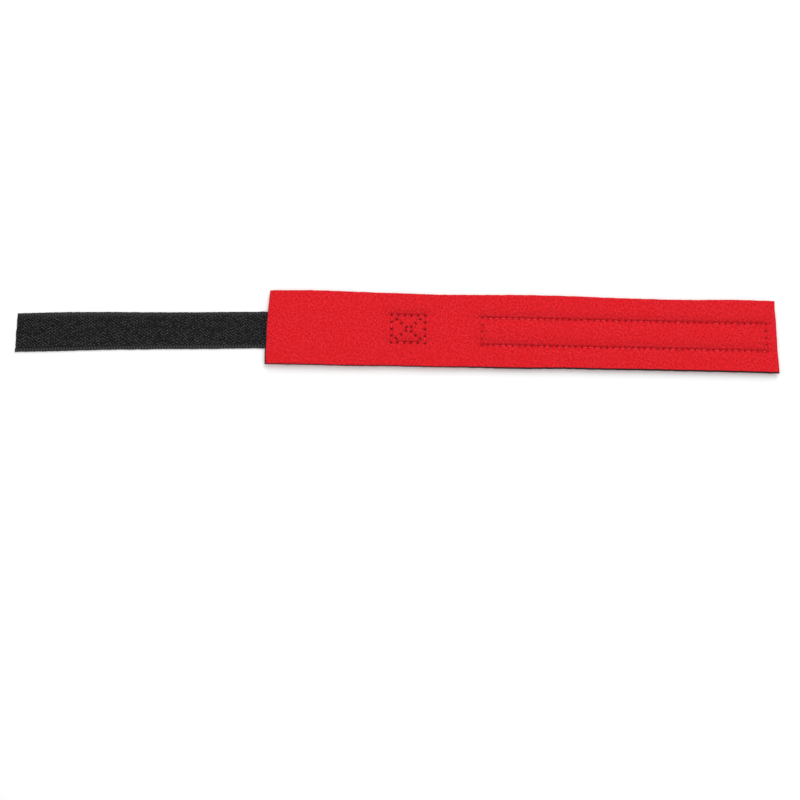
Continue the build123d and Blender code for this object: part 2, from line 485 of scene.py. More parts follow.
def seamRelief(x, y, runs, strength=1.0):
    # grooves, needle holes and the small pillows between them
    groove, pillow, press = (np.zeros(np.shape(x)) for _ in range(3))
    for a, b in runs:
        held, offX, offY, length, count = besideRun(x, y, a, b)
        away = np.hypot(offX, offY)
        atHole = 0.5 + 0.5 * np.cos(2 * math.pi * held * count / length)
        depth = seam["grooveDepth"] + seam["holeDepth"] * atHole ** 3
        line = -depth * np.exp(-(away / seam["grooveWidth"]) ** 2)
        puff = seam["pillow"] * (1 - atHole) * np.exp(-((away - seam["pillowAt"]) / seam["pillowWidth"]) ** 2)
        wide = -seam["press"] * np.exp(-(away / seam["pressWidth"]) ** 2)
        groove, pillow, press = np.minimum(groove, line), np.maximum(pillow, puff), np.minimum(press, wide)
    return (groove + pillow + press) * strength


def skinHolesAndPaintedShade(x, y, z):
    # how much each part of the cloth is darkened: the needle holes, where the foam shows and shade is painted
    # too, and painted shade in the crease and on the long slope into it
    holes, creasePaintedShade, slope = (np.zeros(np.shape(x)) for _ in range(3))
    for runs, strength in ((patchRuns, 0.6), (boxRuns, 1.0)):
        for a, b in runs:
            held, offX, offY, length, count = besideRun(x, y, a, b)
            away = np.hypot(offX, offY)
            gap = (held * count / length + 0.5) % 1 - 0.5
            spread = away ** 2 + (gap * length / count) ** 2
            holes = np.maximum(holes, strength * np.exp(-(spread / seam["holeWidth"] ** 2)))
            # painted shade in the crease beside the thread, scalloped from hole to hole
            scallop = 0.6 + 0.4 * np.cos(2 * math.pi * gap)
            creasePaintedShade = np.maximum(creasePaintedShade, seam["creaseShade"] * scallop * np.exp(-(np.hypot(offX,
                    offY - 0.45) / 0.7) ** 2))
            if abs(b[0] - a[0]) > 0.9 * length:      # only the runs along the band
                # painted shade on the slope above each long seam
                fade = np.exp(-away / seam["slopeWidth"])
                slope = np.maximum(slope, seam["slopeShade"] * (offY > 0) * fade * np.clip(away, 0, 1))
    return np.clip(np.maximum(holes, creasePaintedShade + slope), 0, 1)


# painted shade on the ground between the hooks, on the tape's top only
def hookFieldPaintedShade(x, y, z):
    inside = 1 - selvageShare(y, tapeMiddle(x), hookTape["selvage"], tapeHalfAt(x))
    return np.where(z > 0.3, hookTape["fieldPaintedShade"] * inside, 0.0)


def skinTop(x, y):
    dents = smoothNoise(x, y, lie["dentSize"], 21) * lie["dents"]
    dents = dents + smoothNoise(x, y, 5.0, 22) * lie["dents"] * 0.35
    edge = np.clip((bandHalf - np.abs(y)) / lie["roundingWidth"], 0, 1)
    rounding = -lie["cornerRounding"] * (1 - edge) ** 2
    pinch = lie["pinch"] * smoothStep(1 - (x - bandLow[0]) / lie["pinchLength"])
    return bandHigh[2] + bandLie(x, y) + seamRelief(x, y, seamRuns) + dents + rounding - pinch


def skinUnder(x, y):
    return skinTop(x, y) - (bandHigh[2] - coreHigh[2])


def outerUnder(x, y):
    dents = smoothNoise(x, y, 11.0, 31) * 0.05
    pinch = lie["pinch"] * smoothStep(1 - (bandHigh[0] - x) / lie["pinchLength"])
    return bandLow[2] + bandLie(x, y) + dents + pinch


def outerTop(x, y):
    return outerUnder(x, y) + coreLow[2] - bandLow[2]


def slabPiece(name, x0, x1, step, acrossStep, halfWidth, place, topOf, underOf, material, wallRows=1,
              bulge=0.0, openLeft=False, openRight=False, recessOf=None, underMaterial=None):
    # a closed slab between two surfaces; openLeft and openRight are ends where the next piece carries on
    columns = max(2, round((x1 - x0) / step) + 1)
    rows = max(2, round(2 * halfWidth / acrossStep) + 1)
    lengths = np.linspace(x0, x1, columns)
    shares = np.linspace(-1, 1, rows)
    gx, gs = np.meshgrid(lengths, shares, indexing="ij")
    px, py = place(gx, gs)
    top = np.stack([px, py, topOf(px, py)], -1).reshape(-1, 3)
    under = np.stack([px, py, underOf(px, py)], -1).reshape(-1, 3)
    index = np.arange(columns * rows).reshape(columns, rows)
    a, b, c, d = index[:-1, :-1], index[1:, :-1], index[1:, 1:], index[:-1, 1:]
    topFaces = np.stack([a, b, c, d], -1).reshape(-1, 4)
    underFaces = np.stack([a, d, c, b], -1).reshape(-1, 4) + columns * rows
    # the rim, anticlockwise from above
    rim = np.concatenate([index[:, 0], index[-1, 1:], index[-2::-1, -1], index[0, -2:0:-1]])
    out = np.zeros((columns, rows, 2))
    out[:, 0, 1], out[:, -1, 1] = -1, 1
    if not openLeft:
        out[0, :, 0] = -1
    if not openRight:
        out[-1, :, 0] = 1
    out = out.reshape(-1, 2)[rim]
    rings, vertices = [rim], [top, under]
    count = 2 * columns * rows
    for row in range(1, wallRows):
        t = row / wallRows
        ring = top[rim] * (1 - t) + under[rim] * t
        ring[:, :2] += out * bulge * math.sin(math.pi * t)
        vertices.append(ring)
        rings.append(np.arange(count, count + len(rim)))
        count += len(rim)
    rings.append(rim + columns * rows)
    walls = []
    for upper, lower in zip(rings[:-1], rings[1:]):
        walls.append(np.stack([lower, np.roll(lower, -1), np.roll(upper, -1), upper], -1))
    walls = np.concatenate(walls)
    points = np.concatenate(vertices)
    faces = np.concatenate([topFaces, underFaces, walls])
    mesh = bpy.data.meshes.new(name)
    mesh.from_pydata((points * mm).tolist(), [], faces.tolist())
    # cut ends stay flat, so that the light runs on unbroken into the next piece
    centre = points[faces].mean(1)
    spread = np.ptp(points[faces][:, :, 0], axis=1)
    smooth = np.ones(len(faces), bool)
    wallStart = len(topFaces) + len(underFaces)
    isWall = np.arange(len(faces)) >= wallStart
    if openLeft:
        smooth[isWall & (spread < 1e-3) & (centre[:, 0] < x0 + 0.3)] = False
    if openRight:
        smooth[isWall & (spread < 1e-3) & (centre[:, 0] > x1 - 0.3)] = False
    mesh.polygons.foreach_set("use_smooth", smooth)
    ends = np.empty(len(mesh.edges) * 2, int)
    mesh.edges.foreach_get("vertices", ends)
    alongX = points[ends.reshape(-1, 2)][:, :, 0]
    sharp = np.zeros(len(mesh.edges), bool)
    if openLeft:
        sharp |= (np.abs(alongX - x0) < 1e-3).all(1)
    if openRight:
        sharp |= (np.abs(alongX - x1) < 1e-3).all(1)
    mesh.edges.foreach_set("use_edge_sharp", sharp)
    # the painted shade and the needle holes, kept on the points for the material
    if recessOf:
        recess = mesh.attributes.new("recess", "FLOAT", "POINT")
        recess.data.foreach_set("value", recessOf(points[:, 0], points[:, 1],
                points[:, 2]).astype(np.float32))
    layer = mesh.uv_layers.new(name="flatCloth")
    corners = np.empty(len(mesh.loops), int)
    mesh.loops.foreach_get("vertex_index", corners)
    flat = points[corners]
    uv = np.stack([flat[:, 0], flat[:, 1]], -1) * mm
    wallCorners = np.repeat(isWall, 4)
    uv[wallCorners, 1] += flat[wallCorners, 2] * mm
    layer.data.foreach_set("uv", uv.ravel())
    mesh.materials.append(material)
    if underMaterial:
        mesh.materials.append(underMaterial)
        order = np.arange(len(faces))
        mesh.polygons.foreach_set("material_index",
                ((order >= len(topFaces)) & (order < wallStart)).astype(np.int32))
    mesh.update()
    return addObject(name, mesh)


def slabRun(stem, x0, x1, first=0, **settings):
    # one slab for each bend it crosses
    shares = bendsOver(x0, x1, first)
    made = []
    for number, (k, a, b) in enumerate(shares, 1):
        piece = slabPiece(f"{stem}_{number:02d}", a, b, openLeft=number > 1, openRight=number < len(shares),
                **settings)
        made.append((k, piece, a, b))
    return made


skinPieces = slabRun("skinJersey", bandLow[0], bandHigh[0], firstBandBend, step=0.5, acrossStep=0.5,
        halfWidth=bandHalf, place=bandPlace, topOf=skinTop, underOf=skinUnder, material=redKnitJersey,
        recessOf=skinHolesAndPaintedShade)
print("skin jersey made")
foamPieces = slabRun("foamCore", bandLow[0], bandHigh[0], firstBandBend, step=1.0, acrossStep=1.0,
        halfWidth=bandHalf,
        place=foamPlace, topOf=skinUnder, underOf=outerTop, material=neopreneFoam, wallRows=5, bulge=0.3)
outerPieces = slabRun("outerJersey", bandLow[0], bandHigh[0], firstBandBend, step=0.9, acrossStep=0.9,
        halfWidth=bandHalf, place=bandPlace, topOf=outerTop, underOf=outerUnder, material=redKnitJersey)
print("foam and outer jersey made")

hookTape = {
    "ground": 0.5, "selvage": 2.3, "ribSpacing": 1.75, "ribHeight": 0.22, "backRib": 0.06,
    "backRibSpacing": 0.95,
    "furrow": 0.05,          # rows of hooks stand in shallow furrows
    # how dark the painted shade on the ground between the hooks is
    "fieldPaintedShade": 0.94,
}


def selvageShare(y, middle, width, half):
    return smoothStep((np.abs(y - middle) - (half - width)) / 0.4)


# painted shade on the ground between the loops
def loopFieldPaintedShade(x, y, z):
    return loopTape["fieldPaintedShade"] * (1 - selvageShare(y, loopMiddle, loopTape["selvage"], tapeHalf))


def hookTapeTop(x, y):
    bare = selvageShare(y, tapeMiddle(x), hookTape["selvage"], tapeHalfAt(x))
    ribs = np.abs(np.sin(math.pi * x / hookTape["ribSpacing"])) * hookTape["ribHeight"]
    furrows = np.cos(2 * math.pi * x / hookTape["ribSpacing"]) * hookTape["furrow"]
    return hookTape["ground"] + bare * ribs + (1 - bare) * furrows + smoothNoise(x, y, 12.0, 41) * 0.05


def hookTapeUnder(x, y):
    back = np.abs(np.sin(math.pi * x / hookTape["backRibSpacing"])) * hookTape["backRib"] * 0.5
    pulled = -seamRelief(x, y, boxRuns, 0.45) if np.max(x) > boxCorners[0] - 6 else 0
    return 0.01 + back + np.maximum(pulled, 0)


tapePieces = slabRun("hookTapeGround", cadLow.x / mm, sewnHigh[0], step=0.35, acrossStep=0.7,
        halfWidth=tapeHalf,
        place=tapePlace, topOf=hookTapeTop, underOf=hookTapeUnder, material=wovenNylonTape,
        recessOf=hookFieldPaintedShade, underMaterial=wovenTapeBack)

# the last setting is how dark the painted shade on the ground between the loops is
loopTape = {"selvage": 1.5, "groundUnder": 0.95, "ribSpacing": 1.2, "ribHeight": 0.14, "fieldPaintedShade": 0.92}


def loopTapeTop(x, y):
    sunk = np.minimum(bandLie(x, y), 0) * smoothStep((np.abs(y - loopMiddle) - 9) / 4)
    return bandLow[2] - 0.02 + 0 * x + sunk


def loopTapeUnder(x, y):
    bare = selvageShare(y, loopMiddle, loopTape["selvage"], tapeHalf)
    ribs = np.abs(np.sin(math.pi * x / loopTape["ribSpacing"])) * loopTape["ribHeight"]
    pulled = -seamRelief(x, y, patchRuns, 0.5)
    ground = loopTape["groundUnder"] + smoothNoise(x, y, 6.0, 51) * 0.08
    return np.minimum(ground + bare * (0.2 - ribs) + np.maximum(pulled, 0) * 0.7, 1.45)


loopPieces = slabRun("loopTapeGround", loopLow[0], loopHigh[0], step=0.5, acrossStep=0.8, halfWidth=tapeHalf,
        place=loopPlace, topOf=loopTapeTop, underOf=loopTapeUnder, material=wovenTapeBack,
        recessOf=loopFieldPaintedShade)
print("tapes made")


def newTree(name, sockets):
    tree = bpy.data.node_groups.new(name, "GeometryNodeTree")
    tree.interface.new_socket(name="Geometry", in_out="INPUT", socket_type="NodeSocketGeometry")
    for label, kind in sockets:
        tree.interface.new_socket(name=label, in_out="INPUT", socket_type=kind)
    tree.interface.new_socket(name="Geometry", in_out="OUTPUT", socket_type="NodeSocketGeometry")
    return tree, addNode(tree, "NodeGroupInput"), addNode(tree, "NodeGroupOutput")


def finishTree(tree, entry, output, instances):
    # a shade for each instance, then plain geometry in the chosen material
    shade = addNode(tree, "FunctionNodeRandomValue", {"data_type": "FLOAT"}, {"Seed": entry.outputs["Seed"]})
    kept = addNode(tree, "GeometryNodeStoreNamedAttribute", {"data_type": "FLOAT", "domain": "INSTANCE"},
                   {"Geometry": instances, "Name": "shade"})
    tree.links.new(shade.outputs["Value"] if shade.outputs["Value"].enabled else shade.outputs[1],
                   kept.inputs["Value"])
    real = addNode(tree, "GeometryNodeRealizeInstances", {}, {"Geometry": kept.outputs["Geometry"]})
    coloured = addNode(tree, "GeometryNodeSetMaterial", {}, {"Geometry": real.outputs["Geometry"],
            "Material": entry.outputs["Material"]})
    tree.links.new(coloured.outputs["Geometry"], output.inputs["Geometry"])


def fibreMesh(tree, path, radius, sides):
    # a path given its thickness, which remembers where on the fibre each point is
    ring = addNode(tree, "GeometryNodeCurvePrimitiveCircle", {"mode": "RADIUS"},
                   {"Resolution": sides, "Radius": radius})
    solid = addNode(tree, "GeometryNodeCurveToMesh", {},
                    {"Curve": path, "Profile Curve": ring.outputs["Curve"],
            "Fill Caps": True})
    spot = addNode(tree, "GeometryNodeInputPosition")
    kept = addNode(tree, "GeometryNodeStoreNamedAttribute", {"data_type": "FLOAT_VECTOR", "domain": "POINT"},
                   {"Geometry": solid.outputs["Mesh"], "Name": "fibreAlong"})
    tree.links.new(spot.outputs[0], next(i for i in kept.inputs if i.name == "Value" and i.enabled))
    return kept.outputs["Geometry"]


def bentWire(tree, across, up, corners, resolution):
    # a curve from its start, two handles and end, given as shares of a width and a height
    spots = []
    for acrossShare, upShare in corners:
        x = addNode(tree, "ShaderNodeMath", {"operation": "MULTIPLY"}, {0: across, 1: acrossShare})
        z = addNode(tree, "ShaderNodeMath", {"operation": "MULTIPLY"}, {0: up, 1: upShare})
        spots.append(addNode(tree, "ShaderNodeCombineXYZ", {},
                {"X": x.outputs[0], "Z": z.outputs[0]}).outputs[0])
    wire = addNode(tree, "GeometryNodeCurvePrimitiveBezierSegment", {"mode": "POSITION"}, {
        "Resolution": resolution, "Start": spots[0], "Start Handle": spots[1], "End Handle": spots[2],
        "End": spots[3]})
    return wire.outputs["Curve"]


def seamStitchTree():
    tree, entry, output = newTree("seamStitches", [
        ("Stitch Pitch", "NodeSocketFloat"), ("Thread Radius", "NodeSocketFloat"), ("Rise",
                "NodeSocketFloat"),
        ("Half Length Share", "NodeSocketFloat"), ("Seed", "NodeSocketInt"), ("Material",
                "NodeSocketMaterial")])
    line = addNode(tree, "GeometryNodeMeshToCurve", {}, {"Mesh": entry.outputs["Geometry"]})
    spline = addNode(tree, "GeometryNodeSplineLength")
    wanted = addNode(tree, "ShaderNodeMath", {"operation": "DIVIDE"},
                     {0: spline.outputs["Length"], 1: entry.outputs["Stitch Pitch"]})
    whole = addNode(tree, "ShaderNodeMath", {"operation": "ROUND"}, {0: wanted.outputs[0]})
    count = addNode(tree, "ShaderNodeMath", {"operation": "MAXIMUM"}, {0: whole.outputs[0], 1: 2.0})
    pitch = addNode(tree, "ShaderNodeMath", {"operation": "DIVIDE"},
                    {0: spline.outputs["Length"], 1: count.outputs[0]})
    half = addNode(tree, "ShaderNodeMath", {"operation": "MULTIPLY"}, {0: pitch.outputs[0], 1: 0.5})
    far = addNode(tree, "ShaderNodeMath", {"operation": "SUBTRACT"},
                  {0: spline.outputs["Length"], 1: half.outputs[0]})
    # the pitch is carried on the line, because trimming changes its length
    carried = addNode(tree, "GeometryNodeCaptureAttribute", {"domain": "CURVE"},
                      {"Geometry": line.outputs["Curve"]})
    carried.capture_items.new("FLOAT", "Pitch")
    carried.capture_items.new("FLOAT", "Count")
    tree.links.new(pitch.outputs[0], carried.inputs["Pitch"])
    tree.links.new(count.outputs[0], carried.inputs["Count"])
    trimmed = addNode(tree, "GeometryNodeTrimCurve", {"mode": "LENGTH"}, {
        "Curve": carried.outputs["Geometry"], 4: half.outputs[0], 5: far.outputs[0]})
    spaced = addNode(tree, "GeometryNodeResampleCurve", {"mode": "COUNT"}, {"Curve": trimmed.outputs["Curve"],
            "Count": carried.outputs["Count"]})
    # one stitch lies along X, its ends dipping into the needle holes
    reach = addNode(tree, "ShaderNodeMath", {"operation": "MULTIPLY"},
                    {0: entry.outputs["Stitch Pitch"], 1: entry.outputs["Half Length Share"]})
    arc = bentWire(tree, reach.outputs[0], entry.outputs["Rise"],
                   ((-1.0, -1.3), (-0.75, 0.9), (0.75, 0.9), (1.0, -1.3)), 7)
    thread = fibreMesh(tree, arc, entry.outputs["Thread Radius"], 6)
    tangent = addNode(tree, "GeometryNodeInputTangent")
    wobble = addNode(tree, "FunctionNodeRandomValue", {"data_type": "FLOAT_VECTOR"}, {
        "Seed": entry.outputs["Seed"], 0: (-0.09, -0.09, -0.03), 1: (0.09, 0.09, 0.03)})
    leaned = addNode(tree, "ShaderNodeVectorMath", {"operation": "ADD"},
                     {0: tangent.outputs[0], 1: wobble.outputs[0]})
    turned = addNode(tree, "FunctionNodeAlignRotationToVector", {"axis": "X", "pivot_axis": "Z"},
                     {"Vector": leaned.outputs[0]})
    stretch = addNode(tree, "ShaderNodeMath", {"operation": "DIVIDE"},
                      {0: carried.outputs["Pitch"], 1: entry.outputs["Stitch Pitch"]})
    size = addNode(tree, "ShaderNodeCombineXYZ", {}, {"X": stretch.outputs[0], "Y": 1.0, "Z": 1.0})
    placed = addNode(tree, "GeometryNodeInstanceOnPoints", {}, {
        "Points": spaced.outputs["Curve"], "Instance": thread, "Rotation": turned.outputs[0],
        "Scale": size.outputs[0]})
    finishTree(tree, entry, output, placed.outputs["Instances"])
    return tree


def hookFieldTree():
    tree, entry, output = newTree("hookField", [
        ("First Row", "NodeSocketInt"), ("Rows", "NodeSocketInt"), ("Row Pitch", "NodeSocketFloat"),
        ("Hooks Across", "NodeSocketInt"), ("Across Pitch", "NodeSocketFloat"), ("Slope", "NodeSocketFloat"),
        ("Middle", "NodeSocketFloat"), ("Ground", "NodeSocketFloat"), ("Hook Height", "NodeSocketFloat"),
        ("Wire Radius", "NodeSocketFloat"), ("Seed", "NodeSocketInt"), ("Material", "NodeSocketMaterial")])
    total = addNode(tree, "ShaderNodeMath", {"operation": "MULTIPLY"},
                    {0: entry.outputs["Rows"], 1: entry.outputs["Hooks Across"]})
    points = addNode(tree, "GeometryNodePoints", {}, {"Count": total.outputs[0]})
    index = addNode(tree, "GeometryNodeInputIndex")
    rowShare = addNode(tree, "ShaderNodeMath", {"operation": "DIVIDE"},
                       {0: index.outputs[0], 1: entry.outputs["Hooks Across"]})
    rowHere = addNode(tree, "ShaderNodeMath", {"operation": "FLOOR"}, {0: rowShare.outputs[0]})
    row = addNode(tree, "ShaderNodeMath", {"operation": "ADD"},
                  {0: rowHere.outputs[0], 1: entry.outputs["First Row"]})
    column = addNode(tree, "ShaderNodeMath", {"operation": "MODULO"},
                     {0: index.outputs[0], 1: entry.outputs["Hooks Across"]})
    x = addNode(tree, "ShaderNodeMath", {"operation": "MULTIPLY"},
                {0: row.outputs[0], 1: entry.outputs["Row Pitch"]})
    # each row starts a third of a space further on, which draws the diagonals
    third = addNode(tree, "ShaderNodeMath", {"operation": "WRAP"}, {0: row.outputs[0], 1: 3.0, 2: 0.0})
    step = addNode(tree, "ShaderNodeMath", {"operation": "DIVIDE"}, {0: third.outputs[0], 1: 3.0})
    counted = addNode(tree, "ShaderNodeMath", {"operation": "ADD"},
                      {0: column.outputs[0], 1: step.outputs[0]})
    halfCount = addNode(tree, "ShaderNodeMath", {"operation": "MULTIPLY_ADD"},
                        {0: entry.outputs["Hooks Across"], 1: 0.5, 2: -0.17})
    centred = addNode(tree, "ShaderNodeMath", {"operation": "SUBTRACT"},
                      {0: counted.outputs[0], 1: halfCount.outputs[0]})
    across = addNode(tree, "ShaderNodeMath", {"operation": "MULTIPLY_ADD"},
                     {0: centred.outputs[0], 1: entry.outputs["Across Pitch"], 2: entry.outputs["Middle"]})
    y = addNode(tree, "ShaderNodeMath", {"operation": "MULTIPLY_ADD"},
                {0: x.outputs[0], 1: entry.outputs["Slope"], 2: across.outputs[0]})
    spot = addNode(tree, "ShaderNodeCombineXYZ", {},
                   {"X": x.outputs[0], "Y": y.outputs[0], "Z": entry.outputs["Ground"]})
    jitter = addNode(tree, "FunctionNodeRandomValue", {"data_type": "FLOAT_VECTOR"}, {
        "Seed": entry.outputs["Seed"], 0: (-0.00005, -0.00005, 0), 1: (0.00005, 0.00005, 0)})
    moved = addNode(tree, "GeometryNodeSetPosition", {},
                    {"Geometry": points.outputs[0], "Position": spot.outputs[0], "Offset": jitter.outputs[0]})
    # one hook: straight up, over, and a little down again
    wire = bentWire(tree, entry.outputs["Hook Height"], entry.outputs["Hook Height"],
                    ((0.0, 0.0), (-0.12, 1.02), (0.62, 1.38), (0.55, 0.55)), 6)
    hook = fibreMesh(tree, wire, entry.outputs["Wire Radius"], 4)
    flip = addNode(tree, "ShaderNodeMath", {"operation": "WRAP"}, {0: column.outputs[0], 1: 2.0, 2: 0.0})
    turn = addNode(tree, "ShaderNodeMath", {"operation": "MULTIPLY"}, {0: flip.outputs[0], 1: math.pi})
    sway = addNode(tree, "FunctionNodeRandomValue", {"data_type": "FLOAT_VECTOR"}, {
        "Seed": entry.outputs["Seed"], 0: (-0.12, -0.12, -0.2), 1: (0.12, 0.12, 0.2)})
    base = addNode(tree, "ShaderNodeCombineXYZ", {}, {"Z": turn.outputs[0]})
    euler = addNode(tree, "ShaderNodeVectorMath", {"operation": "ADD"},
                    {0: base.outputs[0], 1: sway.outputs[0]})
    placed = addNode(tree, "GeometryNodeInstanceOnPoints", {}, {
        "Points": moved.outputs["Geometry"], "Instance": hook, "Rotation": euler.outputs[0]})
    finishTree(tree, entry, output, placed.outputs["Instances"])
    return tree


def loopPileTree():
    tree, entry, output = newTree("loopPile", [
        ("Loops Per Square Metre", "NodeSocketFloat"), ("Loop Height", "NodeSocketFloat"), ("Loop Width",
                "NodeSocketFloat"),
        ("Fibre Radius", "NodeSocketFloat"), ("Seed", "NodeSocketInt"), ("Material", "NodeSocketMaterial")])
    scattered = addNode(tree, "GeometryNodeDistributePointsOnFaces", {"distribute_method": "RANDOM"}, {
        "Mesh": entry.outputs["Geometry"], "Seed": entry.outputs["Seed"],
        "Density": entry.outputs["Loops Per Square Metre"]})
    arch = bentWire(tree, entry.outputs["Loop Width"], entry.outputs["Loop Height"],
                    ((-0.5, -0.1), (-0.9, 1.33), (0.9, 1.33), (0.5, -0.1)), 6)
    loop = fibreMesh(tree, arch, entry.outputs["Fibre Radius"], 3)
    spin = addNode(tree, "FunctionNodeRandomValue", {"data_type": "FLOAT_VECTOR"}, {
        "Seed": entry.outputs["Seed"], 0: (-0.55, -0.3, 0.0), 1: (0.55, 0.3, 2 * math.pi)})
    size = addNode(tree, "FunctionNodeRandomValue", {"data_type": "FLOAT_VECTOR"}, {
        "Seed": entry.outputs["Seed"], 0: (0.7, 0.7, 0.55), 1: (1.3, 1.3, 1.0)})
    spun = addNode(tree, "FunctionNodeEulerToRotation", {}, {"Euler": spin.outputs[0]})
    turned = addNode(tree, "FunctionNodeRotateRotation", {"rotation_space": "LOCAL"}, {
        "Rotation": scattered.outputs["Rotation"], "Rotate By": spun.outputs[0]})
    placed = addNode(tree, "GeometryNodeInstanceOnPoints", {}, {
        "Points": scattered.outputs["Points"], "Instance": loop, "Rotation": turned.outputs[0],
        "Scale": size.outputs[0]})
    finishTree(tree, entry, output, placed.outputs["Instances"])
    return tree


def growPiece(name, mesh, tree, values):
    # runs a tree on a small mesh and keeps the result as a plain mesh
    seedObject = addObject(name + "Start", mesh)
    modifier = seedObject.modifiers.new("grow", "NODES")
    modifier.node_group = tree
    for item in tree.interface.items_tree:
        if item.in_out == "INPUT" and item.name in values:
            modifier[item.identifier] = values[item.name]
    bpy.context.view_layer.update()
    evaluated = seedObject.evaluated_get(bpy.context.evaluated_depsgraph_get())
    grown = bpy.data.meshes.new_from_object(evaluated)
    bpy.data.objects.remove(seedObject)
    grown.name = name
    grown.polygons.foreach_set("use_smooth", np.ones(len(grown.polygons), bool))
    return addObject(name, grown)


def lineMesh(name, runs, heightOf):
    # each run is a line of its own that follows the cloth
    points, edges = [], []
    for a, b in runs:
        count = max(2, round(math.dist(a, b) / 0.5))
        t = np.linspace(0, 1, count + 1)
        x, y = a[0] + (b[0] - a[0]) * t, a[1] + (b[1] - a[1]) * t
        z = heightOf(x, y)
        start = len(points)
        points += np.stack([x, y, z], -1).tolist()
        edges += [(start + n, start + n + 1) for n in range(count)]
    mesh = bpy.data.meshes.new(name)
    mesh.from_pydata([[c * mm for c in p] for p in points], edges, [])
    return mesh


def runsByBend(runs):
    groups = {}
    for run in runs:
        x = (run[0][0] + run[1][0]) / 2
        k = next(n for n in range(firstBandBend, lastBend + 1) if x <= middles[n + 1] or n == lastBend)
        groups.setdefault(k, []).append(run)
    return sorted(groups.items())


def growFibres(name, points, faces, settings, seed, material):
    # loops of fibre over flat faces given in millimetres
    mesh = bpy.data.meshes.new(name)
    mesh.from_pydata([[c * mm for c in p] for p in points], [], faces)
    return growPiece(name, mesh, pileTree, {
        "Loops Per Square Metre": settings["perSquareMillimetre"] * 1e6,
        "Loop Height": settings["height"] * mm,
        "Loop Width": settings["width"] * mm, "Fibre Radius": settings["fibreRadius"] * mm, "Seed": seed,
        "Material": material})


stitchTree, hookTree, pileTree = seamStitchTree(), hookFieldTree(), loopPileTree()
threadPieces = {}


def sewSeam(stem, runs, heightOf, material, seed, radius=seam["threadRadius"], flip=False, halfLength=0.32):
    made = []
    for number, (k, group) in enumerate(runsByBend(runs), 1):
        name = f"{stem}_{number:02d}"
        piece = growPiece(name, lineMesh(name, group, heightOf), stitchTree, {
            "Stitch Pitch": seam["pitch"] * mm, "Thread Radius": radius * mm, "Rise": seam["rise"] * mm * (-1
                    if flip else 1),
            "Half Length Share": halfLength, "Seed": seed + number, "Material": material})
        made.append((k, piece))
    threadPieces[stem] = made


def skinSeamLevel(x, y):
    # the thread rides just over the groove it has pulled
    groove = skinTop(x, y)
    return np.full_like(x, np.mean(groove)) * 0.5 + groove * 0.5 + 0.16


sewSeam("patchSeamThread", patchRuns, skinSeamLevel, redThread, 100)
sewSeam("boxSeamThread", boxRuns, skinSeamLevel, redThread, 200)
sewSeam("boxSeamBobbin", boxRuns, lambda x, y: hookTapeUnder(x, y) * 0.3 + 0.24,
        blackThread, 300, 0.2, True)
sewSeam("patchSeamBobbin", patchRuns, lambda x, y: 0 * x + loopTape["groundUnder"] - 0.12,
        blackThread, 400, 0.2, True)
# top thread pulled through shows as a red speck beside each lock
sewSeam("boxSeamSpeck", boxRuns, lambda x, y: hookTapeUnder(x, y) * 0.3 + 0.3,
        redThread, 600, 0.3, True, 0.06)
sewSeam("patchSeamSpeck", patchRuns, lambda x, y: 0 * x + loopTape["groundUnder"] - 0.35,
        redThread, 650, 0.19, True, 0.05)
print("seams sewn")

# real hooks are drawn from 0.2 mm wire; here nearly twice that, so that each one shows
hooks = {"rowPitch": 1.75, "acrossPitch": 1.02, "across": 19, "height": 1.12, "wireRadius": 0.18,
         "ground": 0.48}
hookPieces = []
for number, (k, a, b) in enumerate(bendsOver(cadLow.x / mm + 0.5, sewnHigh[0] - 0.5), 1):
    firstRow = math.ceil(a / hooks["rowPitch"])
    lastRow = math.ceil(b / hooks["rowPitch"]) - 1
    slope = float(tapeMiddle(b) - tapeMiddle(a)) / (b - a)
    name = f"hookField_{number:02d}"
    hookPieces.append((k, growPiece(name, bpy.data.meshes.new(name), hookTree, {
        "First Row": firstRow, "Rows": lastRow - firstRow + 1, "Row Pitch": hooks["rowPitch"] * mm,
        "Hooks Across": hooks["across"], "Across Pitch": hooks["acrossPitch"] * mm, "Slope": slope,
        "Middle": (tapeMiddle(a) - slope * a) * mm, "Ground": hooks["ground"] * mm,
        "Hook Height": hooks["height"] * mm,
        "Wire Radius": hooks["wireRadius"] * mm, "Seed": 500 + number, "Material": nylonHooks})))
print("hooks grown")

pile = {"perSquareMillimetre": 2.5, "height": 0.9, "width": 0.75, "fibreRadius": 0.075, "clearOfSeam": 0.55}
pilePieces = []
for number, (k, a, b) in enumerate(bendsOver(loopLow[0] + 0.4, loopHigh[0] - 0.3), 1):
    edge = tapeHalf - loopTape["selvage"]
    lines = [loopMiddle - edge, patchCorners[1] - pile["clearOfSeam"], patchCorners[1] + pile["clearOfSeam"],
             patchCorners[3] - pile["clearOfSeam"], patchCorners[3] + pile["clearOfSeam"], loopMiddle + edge]
    level = loopTape["groundUnder"]
    points, faces = [], []
    for low, high in zip(lines[::2], lines[1::2]):
        start = len(points)
        points += [(a, low, level), (a, high, level), (b, high, level), (b, low, level)]
        faces.append(tuple(range(start, start + 4)))
    pilePieces.append((k, growFibres(f"loopPile_{number:02d}", points, faces, pile, 700 + number,
            brushedLoops)))
print("pile grown")

# warp ends frayed out of the tail's cut end
fray = {"perSquareMillimetre": 5.0, "height": 0.45, "width": 0.25, "fibreRadius": 0.05, "inset": 0.15,
        "side": 0.6, "low": 0.3, "high": 0.6}
frayX, frayNear, frayFar = tipLow[0] + fray["inset"], tipLow[1] + fray["side"], tipLow[1] + 2 * tapeHalf + 1.0
frayPoints = [(frayX, frayNear, fray["low"]), (frayX, frayNear, fray["high"]), (frayX, frayFar, fray["high"]),
              (frayX, frayFar, fray["low"])]
frayPiece = growFibres("tapeFray", frayPoints, [(0, 1, 2, 3)], fray, 900, blackThread)
print("fray grown")


